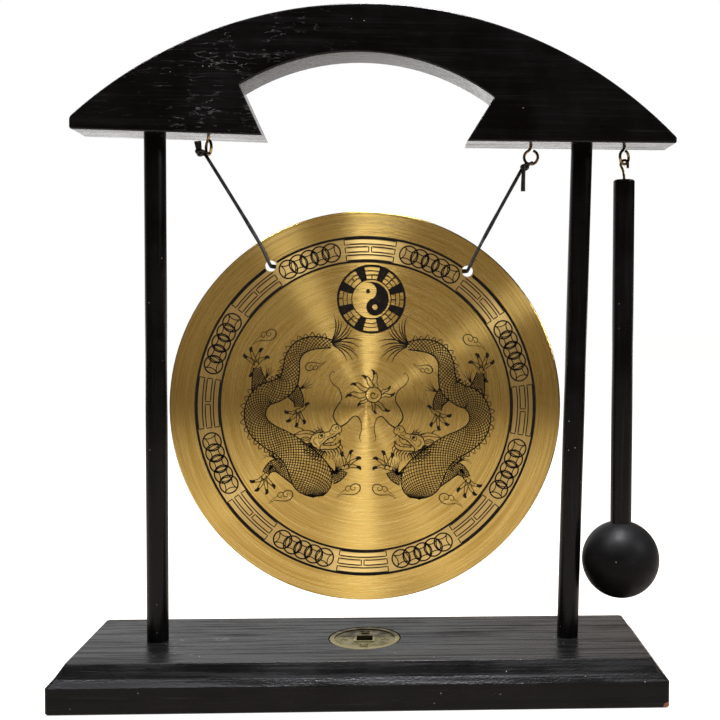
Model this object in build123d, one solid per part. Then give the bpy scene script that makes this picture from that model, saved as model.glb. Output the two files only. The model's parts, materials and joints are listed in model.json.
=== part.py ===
"""A small table gong: a flat brass disc tied by one cord to an arched wooden header, on two
dowel posts and a bevelled base board, with a ball mallet hooked under the header's right end.

The frame is the base's: origin at the middle of the board's underside, +X to the right as the
player faces the gong, +Y to the back, +Z up. Everything is in millimetres.
"""

from build123d import *

import math
import os

# ------------------------------------------------------------------ base board
BASE_LENGTH = 223.0
BASE_DEPTH = 65.0
BASE_HEIGHT = 16.6
LOWER_BEVEL_IN = 2.3
LOWER_BEVEL_RISE = 2.45
UPPER_BEVEL_IN = 3.2
UPPER_BEVEL_RISE = 4.6
BEVEL_EDGE_ROUND = 0.3
BASE_CORNER = 1.4
BASE_SOLE_CHAMFER = 0.6
LEVEL_TOLERANCE = 0.01

# ------------------------------------------------------------------ inlaid coin
COIN_RADIUS = 13.5
COIN_BODY = 1.2
COIN_RELIEF = 0.3
COIN_RIM_WIDTH = 1.7
COIN_HOLE = 6.2
COIN_HOLE_RIM = 0.9
COIN_RECESS_RADIUS = 14.0
COIN_RECESS_DEPTH = 1.6
COIN_MARK_PLACE = 7.9
COIN_MARK_WIDTH = 0.5
# distance of each bar from the middle of its mark, and the length of the bar
COIN_MARK_BARS = [(-1.0, 3.2), (0.0, 1.6), (1.0, 3.2)]

# ------------------------------------------------------------------ posts
DOWEL_RADIUS = 4.1
GLUE_GAP = 0.03
LEFT_POST_X = -79.3
RIGHT_POST_X = 79.1
RIGHT_POST_LEAN = 4.2
POST_IN_BASE = 10.0
POST_IN_HEADER = 12.0

# ------------------------------------------------------------------ arched header
HEADER_UNDERSIDE = 208.4
HEADER_LEFT_LIFT = 1.6
HEADER_RIGHT_DROP = 1.2
HEADER_RISE = 49.3
HEADER_THICKNESS = 18.0
HEADER_OUTER_RADIUS = 163.2
HEADER_OUTER_X = 2.1
HEADER_LEFT_END = -108.6
HEADER_RIGHT_END = 118.0
LEFT_END_ROUNDS = (1.0, 2.6)
RIGHT_END_ROUNDS = (0.8, 1.0)
ARCH_X = -1.3
ARCH_RISE = 31.3
ARCH_RADIUS = 85.1
ARCH_LEFT_NOTCH = -46.3
ARCH_RIGHT_NOTCH = 48.6
ARCH_LEFT_MOUTH = -37.9
ARCH_RIGHT_MOUTH = 38.5
HEADER_EDGE_ROUND = 0.6

# ------------------------------------------------------------------ screw eyes
EYE_WIRE = 0.55
EYE_RADIUS = 2.65
EYE_START = 120.0
EYE_END = 430.0
EYE_SHANK = 0.75
EYE_SHANK_LENGTH = 8.0
EYE_SHANK_OVERLAP = 0.1
# name: x of the ring's centre, z of the ring's centre, turn of the ring about the shank
EYES = {
    "left_screw_eye": (-59.2, 205.0, -58.0),
    "right_screw_eye": (63.6, 202.6, -15.0),
    "mallet_screw_eye": (99.8, 203.0, 40.0),
}

# ------------------------------------------------------------------ gong
GONG_RADIUS = 75.0
GONG_THICKNESS = 1.2
GONG_EDGE_ROUND = 0.45
GONG_X = 0.6
GONG_Z = 106.5
GONG_TURN = 1.2
GONG_HOLE_RADIUS = 2.1
GONG_HOLE_PLACE = 65.0
GONG_HOLE_ANGLE = 35.3

# ------------------------------------------------------------------ cord
CORD_RADIUS = 0.65
HOLE_BEND = 1.2
RIM_GAP = 0.5
CORD_ROUTE = [
    (-60.3, -2.0, 202.4),
    (-39.9, -1.3, 169.6),
    (-36.0, -1.3, 160.5),
    (-35.7, 1.3, 160.1),
    (1.7, 1.4, 158.9),
    (39.1, 1.3, 158.7),
    (39.5, -1.3, 159.1),
    (43.5, -1.3, 167.9),
    (60.2, -0.7, 198.2),
]
LOOP_RADIUS = 1.45
LOOP_CORD = 0.45
KNOT_HALF_LENGTH = 2.1
KNOT_HALF_WIDTH = 1.45
LEFT_KNOT = (-61.9, -2.0, 202.8)
RIGHT_KNOT = (61.3, -1.1, 198.9)
LEFT_TAIL = [(-62.4, -2.2, 203.7), (-62.6, -2.3, 205.2), (-62.9, -2.2, 207.0)]
RIGHT_TAIL = [(60.7, -2.2, 198.4), (60.3, -2.4, 194.2), (60.4, -2.1, 189.3)]
TAIL_RADIUS = 0.75

# ------------------------------------------------------------------ mallet
MALLET_X = 99.8
HANDLE_TOP = 194.3
HANDLE_EDGE_ROUND = 0.8
BALL_RADIUS = 15.0
BALL_Z = 46.8
HANDLE_IN_BALL = 12.0
HOOK_WIRE = 0.5
HOOK_RADIUS = 1.5
HOOK_LOOP_Z = 200.4
HOOK_JOIN = 210.0
HOOK_TIP = 1.7
HOOK_IN_HANDLE = 8.0
HOOK_TURN = -35.0


def ring_axis(turn):
    """The level direction that lies in a ring's plane, after its turn about the vertical."""
    angle = math.radians(turn)
    return Vector(math.cos(angle), math.sin(angle), 0)


def upright_plane(x, z, turn):
    """A plane that holds the vertical and ring_axis(turn), with its origin at (x, 0, z)."""
    across = ring_axis(turn)
    return Plane(origin=(x, 0, z), x_dir=across, z_dir=across.cross(Vector(0, 0, 1)))


def rod(start, end, radius):
    """A round rod from start to end."""
    start, end = Vector(*start), Vector(*end)
    place = Plane(origin=start, z_dir=(end - start).normalized())
    length = (end - start).length
    return place * Cylinder(radius, length, align=(Align.CENTER, Align.CENTER, Align.MIN))


def wire_along(path, radius):
    """Round wire swept along a path of tangent lines and arcs."""
    start = path.location_at(0)
    section = Plane(origin=start.position, z_dir=path.tangent_at(0)) * Circle(radius)
    return sweep(section, path=path)


# ------------------------------------------------------------------ posts and their sockets
def post_ends(side):
    """The foot and head of a post where it meets the base and the header."""
    x, lean = (RIGHT_POST_X, RIGHT_POST_LEAN) if side > 0 else (LEFT_POST_X, 0.0)
    return Vector(x, 0, BASE_HEIGHT), Vector(x + lean, 0, HEADER_UNDERSIDE)


def post(side, clearance=0.0):
    """A dowel post with its glued ends; the same rod, wider by a clearance, cuts its sockets."""
    foot, head = post_ends(side)
    along = (head - foot).normalized()
    foot = foot - along * POST_IN_BASE
    head = head + along * POST_IN_HEADER
    return rod(tuple(foot), tuple(head), DOWEL_RADIUS + clearance)


# ------------------------------------------------------------------ base board and coin
def on_level(edge, z):
    """True when an edge lies level at height z."""
    box = edge.bounding_box()
    return abs(box.min.Z - z) < LEVEL_TOLERANCE and abs(box.max.Z - z) < LEVEL_TOLERANCE


def base_board():
    """A board with a two-facet bevel round its top, post sockets and a recess for the coin."""
    bevel_start = BASE_HEIGHT - LOWER_BEVEL_RISE - UPPER_BEVEL_RISE
    levels = [
        (bevel_start, 0.0),
        (bevel_start + LOWER_BEVEL_RISE, LOWER_BEVEL_IN),
        (BASE_HEIGHT, LOWER_BEVEL_IN + UPPER_BEVEL_IN),
    ]
    slab = extrude(RectangleRounded(BASE_LENGTH, BASE_DEPTH, BASE_CORNER), bevel_start)
    board = chamfer(slab.faces().sort_by(Axis.Z)[0].edges(), BASE_SOLE_CHAMFER)
    for (low, inset_low), (high, inset_high) in zip(levels, levels[1:]):
        outlines = [
            Pos(0, 0, z) * RectangleRounded(BASE_LENGTH - 2 * i, BASE_DEPTH - 2 * i, BASE_CORNER)
            for z, i in ((low, inset_low), (high, inset_high))
        ]
        board += loft(outlines, ruled=True)
    heights = [z for z, _ in levels]
    ridges = [e for e in board.edges() if any(on_level(e, z) for z in heights)]
    board = fillet(ridges, BEVEL_EDGE_ROUND)
    for side in (-1, 1):
        board -= post(side, GLUE_GAP)
    recess_floor = BASE_HEIGHT - COIN_RECESS_DEPTH
    board -= Pos(0, 0, recess_floor) * Cylinder(
        COIN_RECESS_RADIUS, BASE_HEIGHT, align=(Align.CENTER, Align.CENTER, Align.MIN)
    )
    return board


def coin_inlay():
    """A round coin with a square hole, raised rims and four plain raised marks."""
    coin = extrude(Circle(COIN_RADIUS), COIN_BODY)
    relief = Circle(COIN_RADIUS) - Circle(COIN_RADIUS - COIN_RIM_WIDTH)
    hole_rim = COIN_HOLE + 2 * COIN_HOLE_RIM
    relief += RectangleRounded(hole_rim, hole_rim, COIN_HOLE_RIM)
    for quarter in range(4):
        place = Rot(0, 0, 90 * quarter) * Pos(0, COIN_MARK_PLACE, 0)
        for offset, length in COIN_MARK_BARS:
            relief += place * Pos(0, offset, 0) * SlotOverall(length, COIN_MARK_WIDTH)
    coin += Pos(0, 0, COIN_BODY) * extrude(relief, COIN_RELIEF)
    coin -= extrude(Rectangle(COIN_HOLE, COIN_HOLE), COIN_BODY + COIN_RELIEF)
    return Pos(0, 0, BASE_HEIGHT - COIN_RECESS_DEPTH) * coin


# ------------------------------------------------------------------ header
def arc_height(x, centre_x, radius, rise):
    """The height at x of an arc whose top, at centre_x, stands rise above the underside."""
    return rise - radius + math.sqrt(radius**2 - (x - centre_x) ** 2)


def arch_header():
    """The header board: an outer arc, two blunt ends and an arched cut-out below."""
    outer = (HEADER_OUTER_X, HEADER_OUTER_RADIUS, HEADER_RISE)
    arch = (ARCH_X, ARCH_RADIUS, ARCH_RISE)
    left_low = (HEADER_LEFT_END, HEADER_LEFT_LIFT)
    left_high = (HEADER_LEFT_END, arc_height(HEADER_LEFT_END, *outer))
    right_high = (HEADER_RIGHT_END, arc_height(HEADER_RIGHT_END, *outer))
    right_low = (HEADER_RIGHT_END, -HEADER_RIGHT_DROP)
    mouth_right = (ARCH_RIGHT_MOUTH, -HEADER_RIGHT_DROP)
    notch_right = (ARCH_RIGHT_NOTCH, arc_height(ARCH_RIGHT_NOTCH, *arch))
    notch_left = (ARCH_LEFT_NOTCH, arc_height(ARCH_LEFT_NOTCH, *arch))
    mouth_left = (ARCH_LEFT_MOUTH, 0)

    outline = Line(left_low, left_high)
    outline += ThreePointArc(left_high, (HEADER_OUTER_X, HEADER_RISE), right_high)
    outline += Line(right_high, right_low)
    outline += Line(right_low, mouth_right)
    outline += Line(mouth_right, notch_right)
    outline += ThreePointArc(notch_right, (ARCH_X, ARCH_RISE), notch_left)
    outline += Line(notch_left, mouth_left)
    outline += Line(mouth_left, left_low)
    face = make_face(outline)
    ends = zip((left_low, left_high, right_low, right_high), LEFT_END_ROUNDS + RIGHT_END_ROUNDS)
    for corner, radius in ends:
        face = fillet(face.vertices().sort_by_distance(Vector(*corner))[0], radius)

    board = extrude(Plane.XZ * face, HEADER_THICKNESS / 2, both=True)
    rims = board.faces().filter_by(Axis.Y).edges()
    board = fillet(rims, HEADER_EDGE_ROUND)
    board = Pos(0, 0, HEADER_UNDERSIDE) * board
    for side in (-1, 1):
        board -= post(side, GLUE_GAP)
    for x, _, _ in EYES.values():
        top = HEADER_UNDERSIDE + EYE_SHANK_LENGTH
        foot = HEADER_UNDERSIDE - 2 * HEADER_RIGHT_DROP
        board -= rod((x, 0, foot), (x, 0, top), EYE_SHANK + GLUE_GAP)
    return board


# ------------------------------------------------------------------ screw eyes
def screw_eye(x, ring_z, turn):
    """A wire ring left open beside its neck, with a shank screwed up into the header."""
    start = math.radians(EYE_START)
    end = math.radians(EYE_END)
    middle = (start + end) / 2
    heading = (-math.sin(start), math.cos(start))
    bend_radius = EYE_RADIUS
    join = (EYE_RADIUS * math.cos(start), EYE_RADIUS * math.sin(start))
    neck = (join[0] + bend_radius * (heading[1] + 1), join[1] - bend_radius * heading[0])
    half_bend = math.radians(180 - EYE_START) / 2
    bend_centre = (neck[0] - bend_radius, neck[1])
    bend_middle = (
        bend_centre[0] + bend_radius * math.cos(half_bend),
        bend_centre[1] - bend_radius * math.sin(half_bend),
    )

    def on_ring(angle):
        return (EYE_RADIUS * math.cos(angle), EYE_RADIUS * math.sin(angle))

    path = ThreePointArc(neck, bend_middle, join)
    path += ThreePointArc(join, on_ring(middle), on_ring(end))
    plane = upright_plane(x, ring_z, turn)
    ring = wire_along(Wire((plane * path).edges()), EYE_WIRE)
    shank_foot = plane.from_local_coords((neck[0], neck[1] - EYE_SHANK_OVERLAP, 0))
    shank_head = (x, 0, HEADER_UNDERSIDE + EYE_SHANK_LENGTH)
    return ring + rod(tuple(shank_foot), shank_head, EYE_SHANK)


# ------------------------------------------------------------------ gong
def on_gong(radius, angle):
    """The x and z of a point on the gong, at a clockwise angle from its own top."""
    turned = math.radians(angle + GONG_TURN)
    return GONG_X + radius * math.sin(turned), GONG_Z + radius * math.cos(turned)


def gong_disc():
    """A flat disc with a rounded edge and two holes for the cord."""
    disc = Cylinder(GONG_RADIUS, GONG_THICKNESS)
    disc = fillet(disc.edges().filter_by(GeomType.CIRCLE), GONG_EDGE_ROUND)
    disc = Pos(GONG_X, 0, GONG_Z) * Rot(90, 0, 0) * disc
    for angle in (-GONG_HOLE_ANGLE, GONG_HOLE_ANGLE):
        x, z = on_gong(GONG_HOLE_PLACE, angle)
        disc -= rod((x, -GONG_THICKNESS, z), (x, GONG_THICKNESS, z), GONG_HOLE_RADIUS)
    return disc


# ------------------------------------------------------------------ cord
def corner_radii(points, tight):
    """Each corner's radius: 0.45 of its shorter run over the tangent of half the turn."""
    radii = []
    for before, corner, after in zip(points, points[1:], points[2:]):
        first, second = Vector(*corner) - Vector(*before), Vector(*after) - Vector(*corner)
        half_turn = math.radians(first.get_angle(second) / 2)
        radius = 0.45 * min(first.length, second.length) / math.tan(half_turn)
        radii.append(max(radius, tight) if radius < 2 * tight else radius)
    return radii


def cord_tube(points, radius, tight=HOLE_BEND):
    """A round cord along straight runs joined by tangent arcs."""
    radii = corner_radii(points, tight)
    print("cord radii:", [round(r, 2) for r in radii])
    path = FilletPolyline(*points, radius=radii)
    tube = wire_along(path, radius)
    expected = math.pi * radius**2 * path.length
    print(f"cord length {path.length:.1f}, volume {tube.volume:.2f} of {expected:.2f}")
    return tube


def shortened(points, start_gap, end_gap):
    """The route with its first and last points moved along their runs."""
    vectors = [Vector(*p) for p in points]
    first = vectors[0] + (vectors[1] - vectors[0]).normalized() * start_gap
    last = vectors[-1] + (vectors[-2] - vectors[-1]).normalized() * end_gap
    return [tuple(first)] + points[1:-1] + [tuple(last)]


def cord_run(from_knot, to_rim):
    """One straight run of the cord from a knot to the gong's rim."""
    start, end = shortened([from_knot, to_rim], 0.0, RIM_GAP)
    return rod(start, end, CORD_RADIUS)


def cord_behind_gong():
    """The stretch from rim to rim, in through one hole, behind the gong and out again."""
    return cord_tube(shortened(CORD_ROUTE[1:-1], RIM_GAP, RIM_GAP), CORD_RADIUS)


def knot(centre, eye):
    """A tight knot and the loop that it closes round the foot of an eye's ring."""
    x, ring_z, turn = EYES[eye]
    upper = Rectangle(2 * KNOT_HALF_LENGTH, KNOT_HALF_WIDTH, align=(Align.CENTER, Align.MIN))
    half = Ellipse(KNOT_HALF_LENGTH, KNOT_HALF_WIDTH) & upper
    body = Pos(*centre) * revolve(half, axis=Axis.X)
    loop_place = Plane(origin=(x, 0, ring_z - EYE_RADIUS), z_dir=ring_axis(turn))
    loop = loop_place * Torus(LOOP_RADIUS, LOOP_CORD)
    toward = ring_axis(turn).cross(Vector(0, 0, 1)) * LOOP_RADIUS
    front = Vector(x, 0, ring_z - EYE_RADIUS) + toward
    bridge = rod(tuple(front), centre, LOOP_CORD)
    return body + loop + bridge


# ------------------------------------------------------------------ mallet
def mallet_hook():
    """An open wire hook screwed into the handle: a gentle S, a loop and a short free tip."""
    join = math.radians(HOOK_JOIN)
    heading = (math.sin(join), -math.cos(join))
    join_point = (HOOK_RADIUS * math.cos(join), HOOK_RADIUS * math.sin(join))
    bend_radius = join_point[0] / (heading[1] - 1)
    bend_start = (0, join_point[1] + bend_radius * heading[0])
    half_bend = math.radians(HOOK_JOIN - 180) / 2
    bend_middle = (
        -bend_radius * (1 - math.cos(half_bend)),
        bend_start[1] + bend_radius * math.sin(half_bend),
    )
    foot = HANDLE_TOP - HOOK_IN_HANDLE - HOOK_LOOP_Z
    path = Line((0, foot), bend_start)
    path += ThreePointArc(bend_start, bend_middle, join_point)
    path += ThreePointArc(join_point, (0, HOOK_RADIUS), (HOOK_RADIUS, 0))
    path += Line((HOOK_RADIUS, 0), (HOOK_RADIUS, -HOOK_TIP))
    plane = upright_plane(MALLET_X, HOOK_LOOP_Z, HOOK_TURN)
    return wire_along(Wire((plane * path).edges()), HOOK_WIRE)


def mallet_handle():
    """A dowel with a rounded top edge and a pilot hole for the hook."""
    foot = BALL_Z + BALL_RADIUS - HANDLE_IN_BALL
    handle = rod((MALLET_X, 0, foot), (MALLET_X, 0, HANDLE_TOP), DOWEL_RADIUS)
    handle = fillet(handle.edges().sort_by(Axis.Z)[-1], HANDLE_EDGE_ROUND)
    pilot_foot = (MALLET_X, 0, HANDLE_TOP - HOOK_IN_HANDLE)
    return handle - rod(pilot_foot, (MALLET_X, 0, HANDLE_TOP + 1), HOOK_WIRE + GLUE_GAP)


def mallet_ball():
    """A turned ball with a blind hole for the handle."""
    ball = Pos(MALLET_X, 0, BALL_Z) * Sphere(BALL_RADIUS)
    foot = BALL_Z + BALL_RADIUS - HANDLE_IN_BALL
    above = BALL_Z + 2 * BALL_RADIUS
    return ball - rod((MALLET_X, 0, foot), (MALLET_X, 0, above), DOWEL_RADIUS + GLUE_GAP)


def build():
    """Every node of the assembly, by name."""
    nodes = {
        "base_board": base_board(),
        "coin_inlay": coin_inlay(),
        "left_post": post(-1),
        "right_post": post(1),
        "arch_header": arch_header(),
        "gong_disc": gong_disc(),
        "cord_left_run": cord_run(CORD_ROUTE[0], CORD_ROUTE[1]),
        "cord_right_run": cord_run(CORD_ROUTE[-1], CORD_ROUTE[-2]),
        "cord_behind_gong": cord_behind_gong(),
        "left_knot": knot(LEFT_KNOT, "left_screw_eye"),
        "right_knot": knot(RIGHT_KNOT, "right_screw_eye"),
        "left_cord_tail": cord_tube(LEFT_TAIL, TAIL_RADIUS),
        "right_cord_tail": cord_tube(RIGHT_TAIL, TAIL_RADIUS),
        "mallet_hook": mallet_hook(),
        "mallet_handle": mallet_handle(),
        "mallet_ball": mallet_ball(),
    }
    for name, place in EYES.items():
        nodes[name] = screw_eye(*place)
    return nodes


os.makedirs("parts", exist_ok=True)
for node_name, shape in build().items():
    export_step(shape, f"parts/{node_name}.step")
    print(node_name, round(shape.volume, 1), "mm3")
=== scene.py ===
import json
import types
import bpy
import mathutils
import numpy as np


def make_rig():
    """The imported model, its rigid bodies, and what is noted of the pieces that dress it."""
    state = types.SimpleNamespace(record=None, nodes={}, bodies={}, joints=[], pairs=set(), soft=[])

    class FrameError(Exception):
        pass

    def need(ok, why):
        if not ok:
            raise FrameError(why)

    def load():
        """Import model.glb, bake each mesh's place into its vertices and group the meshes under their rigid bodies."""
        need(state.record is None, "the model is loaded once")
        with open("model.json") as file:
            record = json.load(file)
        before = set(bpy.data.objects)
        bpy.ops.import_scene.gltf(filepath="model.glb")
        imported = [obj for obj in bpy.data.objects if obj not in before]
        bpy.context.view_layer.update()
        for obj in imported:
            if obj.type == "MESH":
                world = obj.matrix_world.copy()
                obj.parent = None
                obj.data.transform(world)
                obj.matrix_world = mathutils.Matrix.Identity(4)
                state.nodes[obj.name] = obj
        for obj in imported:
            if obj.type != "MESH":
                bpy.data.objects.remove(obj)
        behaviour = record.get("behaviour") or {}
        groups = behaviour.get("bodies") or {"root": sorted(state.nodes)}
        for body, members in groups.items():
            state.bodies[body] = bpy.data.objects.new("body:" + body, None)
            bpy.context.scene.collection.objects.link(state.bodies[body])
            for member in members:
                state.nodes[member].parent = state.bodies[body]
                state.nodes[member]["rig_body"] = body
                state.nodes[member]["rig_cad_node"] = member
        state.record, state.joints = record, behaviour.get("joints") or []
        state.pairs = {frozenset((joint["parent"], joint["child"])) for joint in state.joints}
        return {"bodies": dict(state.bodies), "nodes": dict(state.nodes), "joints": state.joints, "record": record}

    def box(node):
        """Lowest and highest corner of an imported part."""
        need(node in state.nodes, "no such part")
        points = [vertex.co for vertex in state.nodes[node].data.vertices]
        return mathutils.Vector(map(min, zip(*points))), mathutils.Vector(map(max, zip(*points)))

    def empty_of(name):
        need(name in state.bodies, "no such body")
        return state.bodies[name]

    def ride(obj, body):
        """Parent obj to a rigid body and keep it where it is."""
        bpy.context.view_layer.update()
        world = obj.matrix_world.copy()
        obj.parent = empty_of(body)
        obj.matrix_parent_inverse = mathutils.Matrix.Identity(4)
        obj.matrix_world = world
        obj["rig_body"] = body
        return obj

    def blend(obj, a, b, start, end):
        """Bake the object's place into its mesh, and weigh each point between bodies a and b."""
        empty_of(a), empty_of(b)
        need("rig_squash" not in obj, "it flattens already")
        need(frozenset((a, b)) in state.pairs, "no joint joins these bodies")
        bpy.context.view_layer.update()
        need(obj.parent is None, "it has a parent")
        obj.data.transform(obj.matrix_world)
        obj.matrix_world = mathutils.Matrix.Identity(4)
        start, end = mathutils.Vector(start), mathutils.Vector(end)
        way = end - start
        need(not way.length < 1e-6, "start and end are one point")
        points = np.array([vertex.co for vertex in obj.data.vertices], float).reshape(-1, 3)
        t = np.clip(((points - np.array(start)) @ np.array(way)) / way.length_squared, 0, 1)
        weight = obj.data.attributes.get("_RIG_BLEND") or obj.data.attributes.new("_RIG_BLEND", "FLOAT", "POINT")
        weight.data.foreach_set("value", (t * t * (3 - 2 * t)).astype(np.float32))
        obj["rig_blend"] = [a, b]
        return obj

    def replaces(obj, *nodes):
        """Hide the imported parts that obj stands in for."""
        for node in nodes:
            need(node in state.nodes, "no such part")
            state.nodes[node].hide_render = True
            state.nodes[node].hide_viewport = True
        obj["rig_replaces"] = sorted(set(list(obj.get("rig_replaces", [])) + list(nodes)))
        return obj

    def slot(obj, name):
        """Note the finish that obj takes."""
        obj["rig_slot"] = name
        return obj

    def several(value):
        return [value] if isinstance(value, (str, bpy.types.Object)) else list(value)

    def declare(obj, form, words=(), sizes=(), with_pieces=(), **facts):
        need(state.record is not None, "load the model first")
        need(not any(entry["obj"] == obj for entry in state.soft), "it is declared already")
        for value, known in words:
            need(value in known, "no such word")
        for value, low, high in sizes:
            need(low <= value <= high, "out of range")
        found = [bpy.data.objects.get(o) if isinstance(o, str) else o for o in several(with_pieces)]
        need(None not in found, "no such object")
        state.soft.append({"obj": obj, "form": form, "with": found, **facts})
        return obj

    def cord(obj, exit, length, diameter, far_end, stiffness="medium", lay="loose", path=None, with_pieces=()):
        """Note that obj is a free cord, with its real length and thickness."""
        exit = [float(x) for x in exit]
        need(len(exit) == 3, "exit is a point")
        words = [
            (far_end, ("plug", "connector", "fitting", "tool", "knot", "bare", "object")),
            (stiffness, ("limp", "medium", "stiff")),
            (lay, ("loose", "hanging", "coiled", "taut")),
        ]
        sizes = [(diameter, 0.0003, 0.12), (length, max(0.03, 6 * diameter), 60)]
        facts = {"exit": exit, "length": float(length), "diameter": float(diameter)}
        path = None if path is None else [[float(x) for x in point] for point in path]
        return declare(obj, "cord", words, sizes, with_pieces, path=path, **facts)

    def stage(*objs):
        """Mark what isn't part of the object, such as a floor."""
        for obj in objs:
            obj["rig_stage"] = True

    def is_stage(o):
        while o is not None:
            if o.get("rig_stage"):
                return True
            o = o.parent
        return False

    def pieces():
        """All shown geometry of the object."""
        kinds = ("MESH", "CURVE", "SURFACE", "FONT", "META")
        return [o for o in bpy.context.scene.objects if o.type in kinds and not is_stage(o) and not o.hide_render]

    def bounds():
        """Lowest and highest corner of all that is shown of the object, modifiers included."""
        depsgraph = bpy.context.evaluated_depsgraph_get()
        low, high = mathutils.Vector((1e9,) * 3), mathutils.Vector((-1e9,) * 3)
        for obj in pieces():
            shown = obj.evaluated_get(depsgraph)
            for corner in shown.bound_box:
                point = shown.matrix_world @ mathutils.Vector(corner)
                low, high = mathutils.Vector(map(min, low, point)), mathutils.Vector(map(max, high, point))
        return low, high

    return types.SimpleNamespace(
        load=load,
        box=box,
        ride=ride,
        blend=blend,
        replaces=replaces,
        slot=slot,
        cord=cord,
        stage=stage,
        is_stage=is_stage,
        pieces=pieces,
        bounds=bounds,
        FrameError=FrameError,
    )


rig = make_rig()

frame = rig.load()

import bisect
import json
import math

import bpy
from mathutils import Matrix, Vector, geometry, noise

# Looks of a small table gong on a black wooden stand. Lengths are in metres; MM turns
# millimetres into them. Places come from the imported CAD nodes.
CAD_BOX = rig.bounds()
MM = 0.001
NODES = frame["nodes"]
UP = Vector((0, 0, 1))

# ------------------------------------------------------------------ camera
CAMERA_PLACE = Vector((0.01544, -0.3966, 0.1422))
CAMERA_YAW = math.radians(2.52)
CAMERA_PITCH = math.radians(-1.96)
CAMERA_ROLL = math.radians(0.22)
CAMERA_LENS = 51.48
CAMERA_SHIFT = (-0.1256, -0.0147)

# ------------------------------------------------------------------ cord
CORD_ROUTE = [
    (-0.0603, -0.0020, 0.2024), (-0.0399, -0.0013, 0.1696), (-0.0360, -0.0013, 0.1605),
    (-0.0357, 0.0013, 0.1601), (-0.0285, 0.00135, 0.1598), (0.0017, 0.0014, 0.1589),
    (0.0315, 0.00135, 0.1588), (0.0391, 0.0013, 0.1587), (0.0395, -0.0013, 0.1591),
    (0.0435, -0.0013, 0.1679), (0.0602, -0.0007, 0.1982),
]
CORD_LENGTH = 0.171
CORD_DIAMETER = 0.0013
CORD_HALF_WIDTH = 0.00082
CORD_HALF_THICKNESS = 0.00048
CORD_SIDES = 14
LEFT_KNOT = Vector((-0.0619, -0.0020, 0.2028))
RIGHT_KNOT = Vector((0.0613, -0.0011, 0.1989))
LEFT_TAIL = [(-0.0624, -0.0022, 0.2037), (-0.0626, -0.0023, 0.2052), (-0.0629, -0.0022, 0.2070)]
RIGHT_TAIL = [(0.0607, -0.0022, 0.1984), (0.0603, -0.0024, 0.1942), (0.0604, -0.0021, 0.1893)]

# ------------------------------------------------------------------ gong and its ornament
# Places and sizes on the gong's face are in gong radii; widths of ink lines are in millimetres.
GONG_LOW, GONG_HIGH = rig.box("gong_disc")
GONG_CENTRE = (GONG_LOW + GONG_HIGH) / 2
GONG_RADIUS = (GONG_HIGH.x - GONG_LOW.x) / 2
GONG_FRONT = GONG_LOW.y
PRINT_TURN = math.radians(1.3)
INK_RISE = 0.00003
INK_ROOT = 0.00004
HOLE_CLEAR = 0.030
BAND = (0.744, 0.867)
PANEL_HALF = 9.0
BAR_WIDTH = 0.026
BAR_STEP = 0.0405
BAR_GAP = 0.5
RING_RADIUS = 0.0464
RING_STEP = 4.16
MEDALLION = (0.0125, 0.552)
MEDALLION_RADIUS = 0.176
TRIGRAM_HALF = 13.8
# whole (1) and broken (0) bars from the outside in, clockwise from the top
TRIGRAMS = [(1, 1, 0), (0, 0, 0), (0, 1, 0), (1, 0, 0), (1, 1, 1), (0, 0, 1), (0, 1, 1), (1, 0, 1)]
YIN_TURN = -25
PEARL = (0.035, 0.062)
MIRROR_LINE = 0.01
SCALE_SIZE = 0.0082
HOLE_RADIUS_PLACE = 65.0 / 75.0
HOLES = [
    (HOLE_RADIUS_PLACE * math.sin(math.radians(a)), HOLE_RADIUS_PLACE * math.cos(math.radians(a)))
    for a in (-35.4, 35.2)
]

# ------------------------------------------------------------------ studio
# name, angle of the ray it makes on the gong, tilt off the face, distance, size, power
LIGHTS = [
    ("ray_light_top", 4.0, 44.0, 0.9, (0.30, 0.14), 28.0),
    ("ray_light_left", -26.0, 38.0, 0.9, (0.02, 0.20), 3.6),
    ("ray_light_right", 55.0, 38.0, 0.9, (0.05, 0.16), 3.0),
]
LIGHT_COLOUR = (1.0, 1.0, 1.06)
# sky light by direction: dim and warm in front and at the sides, bright behind the object.
# The ramp is from and to (cosine off the brightest direction), then from and to (strength).
WORLD_FACING = (-0.36, 0.933, 0.0)
WORLD_RAMP = (0.5, 0.97, 0.06, 1.1)
WORLD_DIM_COLOUR = (1.0, 0.5, 0.22, 1.0)
WHITE = (1.0, 1.0, 1.0, 1.0)
# floor light, in metres and strength: a soft glow round the stand, and a strong one behind it.
# The camera sees the floor at one even strength.
FLOOR_NEAR = (0.50, 0.80, 0.34)
FLOOR_FAR_GLOW = 0.02
FLOOR_BEHIND = (1.1, 1.4, 3.0)
FLOOR_SEEN = 0.95
FLOOR_COLOURS = ((0.24, 0.20, 0.16, 1), (0.26, 0.22, 0.18, 1))
FLOOR_SIDE = 12.0
FLOOR_CELLS = 24
FLOOR_DROP = 0.0002


def smoothstep(low, high, value):
    """0 below low, 1 above high, and a smooth ramp between."""
    t = min(1.0, max(0.0, (value - low) / (high - low)))
    return t * t * (3 - 2 * t)


# ---- camera
def make_camera():
    """The camera stands a little to the right of the gong and looks slightly down."""
    forward = Vector((
        math.sin(CAMERA_YAW) * math.cos(CAMERA_PITCH),
        math.cos(CAMERA_YAW) * math.cos(CAMERA_PITCH),
        math.sin(CAMERA_PITCH),
    ))
    level = forward.cross(UP).normalized()
    upright = level.cross(forward)
    right = level * math.cos(CAMERA_ROLL) + upright * math.sin(CAMERA_ROLL)
    turned = Matrix((right, right.cross(forward), -forward)).transposed()
    data = bpy.data.cameras.new("camera")
    data.lens = CAMERA_LENS
    data.sensor_width = 36.0
    data.shift_x, data.shift_y = CAMERA_SHIFT
    data.clip_start = 0.01
    camera = bpy.data.objects.new("camera", data)
    camera.matrix_world = Matrix.Translation(CAMERA_PLACE) @ turned.to_4x4()
    bpy.context.scene.collection.objects.link(camera)
    bpy.context.scene.camera = camera


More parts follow.
